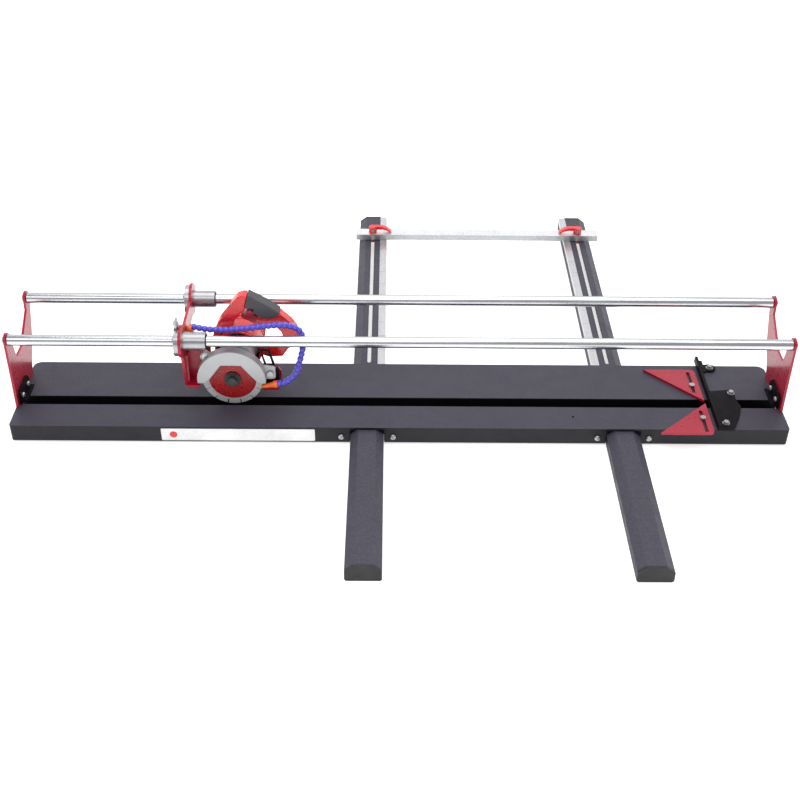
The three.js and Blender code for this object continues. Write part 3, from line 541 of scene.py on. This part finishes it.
slot_of = {row["node"]: row["material_slot"] for row in frame["record"]["subparts"]}
EDGE = {
    "table_top": 1.2, "groove_trough": 0.4, "bracket_left": 0.6, "bracket_right": 0.6,
    "carriage_plate": 0.7, "saw_cradle": 0.6, "angle_plate_rear": 0.5, "angle_plate_front": 0.5,
    "stop_fence": 0.5, "fence_bar": 0.5, "end_clamp_left": 0.5, "end_clamp_right": 0.5,
    "depth_strap": 0.4, "bearing_front": 0.6, "bearing_rear": 0.6, "blade": 0.15,
}


def dress_frame():
    for name, obj in frame["nodes"].items():
        material = MATERIALS[slot_of[name]]
        if name == "blade":
            material = DISC
        if name.startswith("ruler"):
            material = RULE
        obj.data.materials.clear()
        obj.data.materials.append(material)
        width = EDGE.get(name, 1.0 if name.startswith(("leg", "cap")) else 0.35)
        bevel = obj.modifiers.new("edges", "BEVEL")
        bevel.width = width * MM
        bevel.segments = 2
        bevel.limit_method = "ANGLE"
        bevel.angle_limit = math.radians(40)
        bevel.harden_normals = False
        smooth = obj.modifiers.new("weighted", "WEIGHTED_NORMAL")
        smooth.keep_sharp = True
        for face in obj.data.polygons:
            face.use_smooth = True
        obj.data.set_sharp_from_angle(angle=math.radians(35))


dress_frame()

# ---------------------------------------------------------------- table, legs and fence pieces


def saddle_screws():
    makers = []
    for x in LEG_X.values():
        for side in (-1, 1):
            at = Vector((x + side * 46.5 * MM, TABLE_FRONT, 16 * MM))
            makers.append((pan_screw, at, (0, -1, 0), 5.6 * MM, 0.4 * side))
            back = Vector((x + side * 46.5 * MM, TABLE_REAR, 16 * MM))
            makers.append((pan_screw, back, (0, 1, 0), 5.6 * MM, 0.9 * side))
    screws("saddle_screws", "base", "bright_steel", makers)


def end_bolts():
    """Bolts that hold the brackets to their angles and to the ends of the rails."""
    makers = []
    for node, side in (("end_clamp_left", -1), ("end_clamp_right", 1)):
        inner = low(node).x + 4 * MM if side < 0 else high(node).x - 4 * MM
        outer = low("bracket_left").x if side < 0 else high("bracket_right").x
        height = low(node).z + 13.7 * MM
        for y in (-3 * MM, 32 * MM):
            at = Vector((inner, GROOVE_Y + y, height))
            makers.append((pan_screw, at, (-side, 0, 0), 5.4 * MM, 20 * y))
            back = Vector((outer, GROOVE_Y + y, height))
            makers.append((hex_bolt, back, (side, 0, 0), 4.4 * MM, 4.5 * MM, 30 * y))
        for y in RAIL_Y.values():
            makers.append((cap_screw, Vector((outer, y, RAIL_Z)), (side, 0, 0), 6.5 * MM, 0.6))
    screws("end_bolts", "base", "bright_steel", makers)


def stop_bolts():
    top = low("stop_fence").z + 3 * MM
    spots = ((594, 112), (617, 30), (588, -62))
    makers = [(hex_bolt, Vector((x * MM, GROOVE_Y + y * MM, top)), (0, 0, 1), 4.4 * MM, 5 * MM, x)
              for x, y in spots]
    screws("stop_bolts", "base", "bright_steel", makers)


def cam_pins():
    """Bright hexagon pin on which each fence lever turns, seen at the front of its hub."""
    for side in ("left", "right"):
        node = f"fence_cam_{side}"
        y = middle("fence_bar").y - 8.9 * MM
        at = Vector((LEG_X[side], y, high(node).z - 7.5 * MM))
        screws(f"cam_pin_{side}", f"cam_{side}", "bright_steel",
               [(hex_bolt, at, (0, -1, 0), 3 * MM, 3.4 * MM, 0.0, 1.3)])


def sticker():
    """Blank white sticker on the front skirt with a plain red dot."""
    x = (-430 * MM, -154 * MM)
    z = (5.5 * MM, 31.5 * MM)
    bm = bmesh.new()
    corners = []
    radius = 2 * MM
    for cx, cz, start in ((x[1], z[1], 0), (x[0], z[1], 90), (x[0], z[0], 180), (x[1], z[0], 270)):
        sx = 1 if cx == x[1] else -1
        sz = 1 if cz == z[1] else -1
        for k in range(5):
            a = math.radians(start + 22.5 * k)
            corners.append((cx - sx * radius + radius * math.cos(a), cz - sz * radius + radius * math.sin(a)))
    front = [bm.verts.new((u, TABLE_FRONT - 0.3 * MM, v)) for u, v in corners]
    back = [bm.verts.new((u, TABLE_FRONT - 0.02 * MM, v)) for u, v in corners]
    bm.faces.new(front)
    bm.faces.new(list(reversed(back)))
    for i in range(len(front)):
        j = (i + 1) % len(front)
        bm.faces.new((front[i], back[i], back[j], front[j]))
    piece("blank_sticker", bm, "base", material=STICKER, smooth=0)
    bm = bmesh.new()
    at = Vector((-408 * MM, TABLE_FRONT - 0.3 * MM, 18.5 * MM))
    turned(bm, [(7 * MM, -0.1 * MM), (7 * MM, 0.12 * MM), (6.8 * MM, 0.15 * MM)], aim(at, (0, -1, 0)), 32)
    piece("sticker_dot", bm, "base", "red_plastic")


# ---------------------------------------------------------------- carriage and saw pieces


def bearing_details():
    makers = []
    for which in ("front", "rear"):
        face = low(f"bearing_{which}").x
        for k in range(4):
            angle = math.radians(45 + 90 * k)
            at = Vector((face, RAIL_Y[which] + 21.5 * MM * math.cos(angle),
                         RAIL_Z + 21.5 * MM * math.sin(angle)))
            makers.append((cap_screw, at, (-1, 0, 0), 4.2 * MM, 0.55))
    screws("bearing_screws", "carriage", "bright_steel", makers)
    for which in ("front", "rear"):
        bm = bmesh.new()
        for end, way in ((low(f"bearing_{which}").x, -1), (high(f"bearing_{which}").x, 1)):
            at = Vector((end, RAIL_Y[which], RAIL_Z))
            rings = [(13.8 * MM, -0.2 * MM), (13.8 * MM, 0.9 * MM), (13 * MM, 1.3 * MM),
                     (10.6 * MM, 1.3 * MM), (10.4 * MM, -0.2 * MM)]
            turned(bm, rings, aim(at, (way, 0, 0)), 40, close=True)
        piece(f"bearing_seals_{which}", bm, "carriage", "black_plastic")


HOSE_ROUTE = [
    (-368, 18, 187), (-348, 18, 183), (-321, 18, 181), (-285, 18, 184), (-249, 18, 189),
    (-222, 18, 192), (-200, 18, 191), (-186, 18, 185), (-178, 18, 174), (-175.5, 15, 155),
    (-178, 11, 139), (-183, 6, 120), (-187.5, 1, 105), (-195, -3, 94.5), (-206, -5.6, 86),
    (-214, -6, 82.6), (-221.4, -6, 80.9),
]


def bead_hose():
    """Ball-and-socket segments along the hose's route: a ball, a neck and a flared socket each."""
    points = [Vector((x * MM, GROOVE_Y + y * MM, z * MM)) for x, y, z in HOSE_ROUTE]
    pitch = 9.6 * MM
    length = catmull(points, 10)[1]
    count = round(length / pitch)
    samples, _ = catmull(points, count)
    bm = bmesh.new()
    step = length / count
    ball = [(3.4, -0.52), (4.3, -0.5), (5.3, -0.4), (5.8, -0.26), (5.95, -0.08), (5.7, 0.12),
            (5.1, 0.28), (4.4, 0.38), (4.0, 0.44), (4.0, 0.6), (3.2, 0.6), (3.2, -0.52)]
    for point, way in samples:
        rings = [(r * MM, h * step) for r, h in ball]
        turned(bm, rings, aim(point, way), 24, close=True)
    obj = piece("bead_hose", bm, "carriage", "hose_blue", smooth=50)
    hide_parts("hose")


def saw_skins():
    softened("handle", "saw", "red_plastic", 1.2 * MM, 9, "handle_shell")
    softened("grip", "saw", "soft_grip", 1.0 * MM, 6, "grip_skin")
    softened("gear_case", "saw", "cast_aluminium", 0.9 * MM, 3, "gear_case_skin")
    softened("blade_guard", "saw", "cast_aluminium", 0.75 * MM, 3, "guard_skin")
    softened("trigger", "trigger", "red_plastic", 0.7 * MM, 4, "trigger_skin", TRIGGER_RED)


def saw_screws():
    makers = []
    front = low("gear_case").y
    for angle in (200, 262, 330):
        a = math.radians(angle)
        at = Vector((BLADE_C.x + 31 * MM * math.cos(a), front, BLADE_C.z + 31 * MM * math.sin(a)))
        makers.append((pan_screw, at, (0, -1, 0), 3 * MM))
    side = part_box("handle")[0].y
    for x, z in ((-326, 165), (-242, 121), (-201, 180)):
        at = Vector((x * MM, side, z * MM))
        makers.append((pan_screw, at, (0, -1, 0), 3.2 * MM, x))
        back = Vector((x * MM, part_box("handle")[1].y, z * MM))
        makers.append((pan_screw, back, (0, 1, 0), 3.2 * MM, x))
    screws("saw_screws", "saw", "bright_steel", makers)


def motor_ribs():
    """Raised bands and a rear rim round the motor drum."""
    bm = bmesh.new()
    y0, y1 = low("motor_housing").y, high("motor_housing").y
    radius = (high("motor_housing").x - low("motor_housing").x) / 2
    for share, wide in ((0.06, 3.0), (0.5, 1.6), (0.62, 1.6), (0.74, 1.6), (0.95, 3.5)):
        y = y0 + (y1 - y0) * share
        half = wide / 2 * MM
        rings = [(radius - 0.5 * MM, -half), (radius + 0.9 * MM, -half * 0.7), (radius + 1.2 * MM, 0),
                 (radius + 0.9 * MM, half * 0.7), (radius - 0.5 * MM, half)]
        at = Vector((MOTOR_C.x, y, MOTOR_C.z))
        turned(bm, rings, aim(at, (0, 1, 0)), 64, close=True)
    piece("motor_bands", bm, "saw", "red_plastic")


saddle_screws()
end_bolts()
stop_bolts()
cam_pins()
sticker()
bearing_details()
bead_hose()
saw_skins()
saw_screws()
motor_ribs()

# ---------------------------------------------------------------- stage, light and camera


def stage_material():
    n = Nodes("stage_floor")
    shade = n.ramp(n.noise(1.5, 2), [(0.3, (0.88, 0.88, 0.88)), (0.7, (0.9, 0.9, 0.9))])
    n.shader.inputs["Emission Color"].default_value = (1, 1, 1, 1)
    n.shader.inputs["Emission Strength"].default_value = 0.6
    return n.finish(color=shade, rough=0.9, metal=0.0, spec=0.1)


def stage():
    bm = bmesh.new()
    size = 14.0
    wall = 6.0
    profile = [(-size, 0.0), (wall, 0.0)]
    for k in range(1, 13):
        a = math.radians(90 * k / 12)
        profile.append((wall + 2 * math.sin(a), 2 - 2 * math.cos(a)))
    profile.append((wall + 2, 9.0))
    rows = [[bm.verts.new((x, y, z - 0.0002)) for y, z in profile] for x in (-size, size)]
    for i in range(len(profile) - 1):
        bm.faces.new((rows[0][i], rows[1][i], rows[1][i + 1], rows[0][i + 1]))
    mesh = bpy.data.meshes.new("stage_floor")
    bm.to_mesh(mesh)
    bm.free()
    obj = bpy.data.objects.new("stage_floor", mesh)
    bpy.context.scene.collection.objects.link(obj)
    mesh.materials.append(stage_material())
    for face in mesh.polygons:
        face.use_smooth = True
    obj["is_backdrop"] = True


def area_light(name, at, target, size, power):
    data = bpy.data.lights.new(name, "AREA")
    data.shape = "RECTANGLE"
    data.size, data.size_y = size
    data.energy = power
    obj = bpy.data.objects.new(name, data)
    obj.location = at
    obj.rotation_euler = (Vector(target) - Vector(at)).to_track_quat("-Z", "Y").to_euler()
    bpy.context.scene.collection.objects.link(obj)


def lights():
    world = bpy.data.worlds.new("studio")
    bpy.context.scene.world = world
    world.use_nodes = True
    background = world.node_tree.nodes["Background"]
    background.inputs["Color"].default_value = (1, 1, 1, 1)
    background.inputs["Strength"].default_value = 0.42
    area_light("top", (0.2, 0.2, 3.0), (0, 0.1, 0), (3.4, 2.6), 66)
    area_light("key", (-0.9, -2.2, 2.6), (0, 0, 0), (2.2, 1.2), 16)
    area_light("fill_left", (-3.0, -0.8, 1.6), (0, 0, 0.1), (1.2, 2.0), 9)
    area_light("fill_right", (3.0, 0.4, 1.8), (0, 0, 0.1), (1.2, 2.0), 9)


def camera():
    data = bpy.data.cameras.new("camera")
    data.sensor_width = 36
    data.lens = 54.1
    data.clip_end = 100
    obj = bpy.data.objects.new("camera", data)
    bpy.context.scene.collection.objects.link(obj)
    obj.location = (-19.3 * MM, GROOVE_Y - 1776.5 * MM, TABLE_TOP + 1327 * MM)
    pitch = Matrix.Rotation(math.radians(90 - 36.65), 4, "X")
    yaw = Matrix.Rotation(math.radians(-0.6), 4, "Z")
    roll = Matrix.Rotation(math.radians(0.7), 4, "Z")
    obj.rotation_euler = (yaw @ pitch @ roll).to_euler()
    bpy.context.scene.camera = obj


stage()
lights()
camera()
bpy.context.scene.view_settings.view_transform = "Standard"

boxes = {"cad": CAD_BOX, "visual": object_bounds()}
{key: [[float(c) for c in corner] for corner in value] for key, value in boxes.items()}
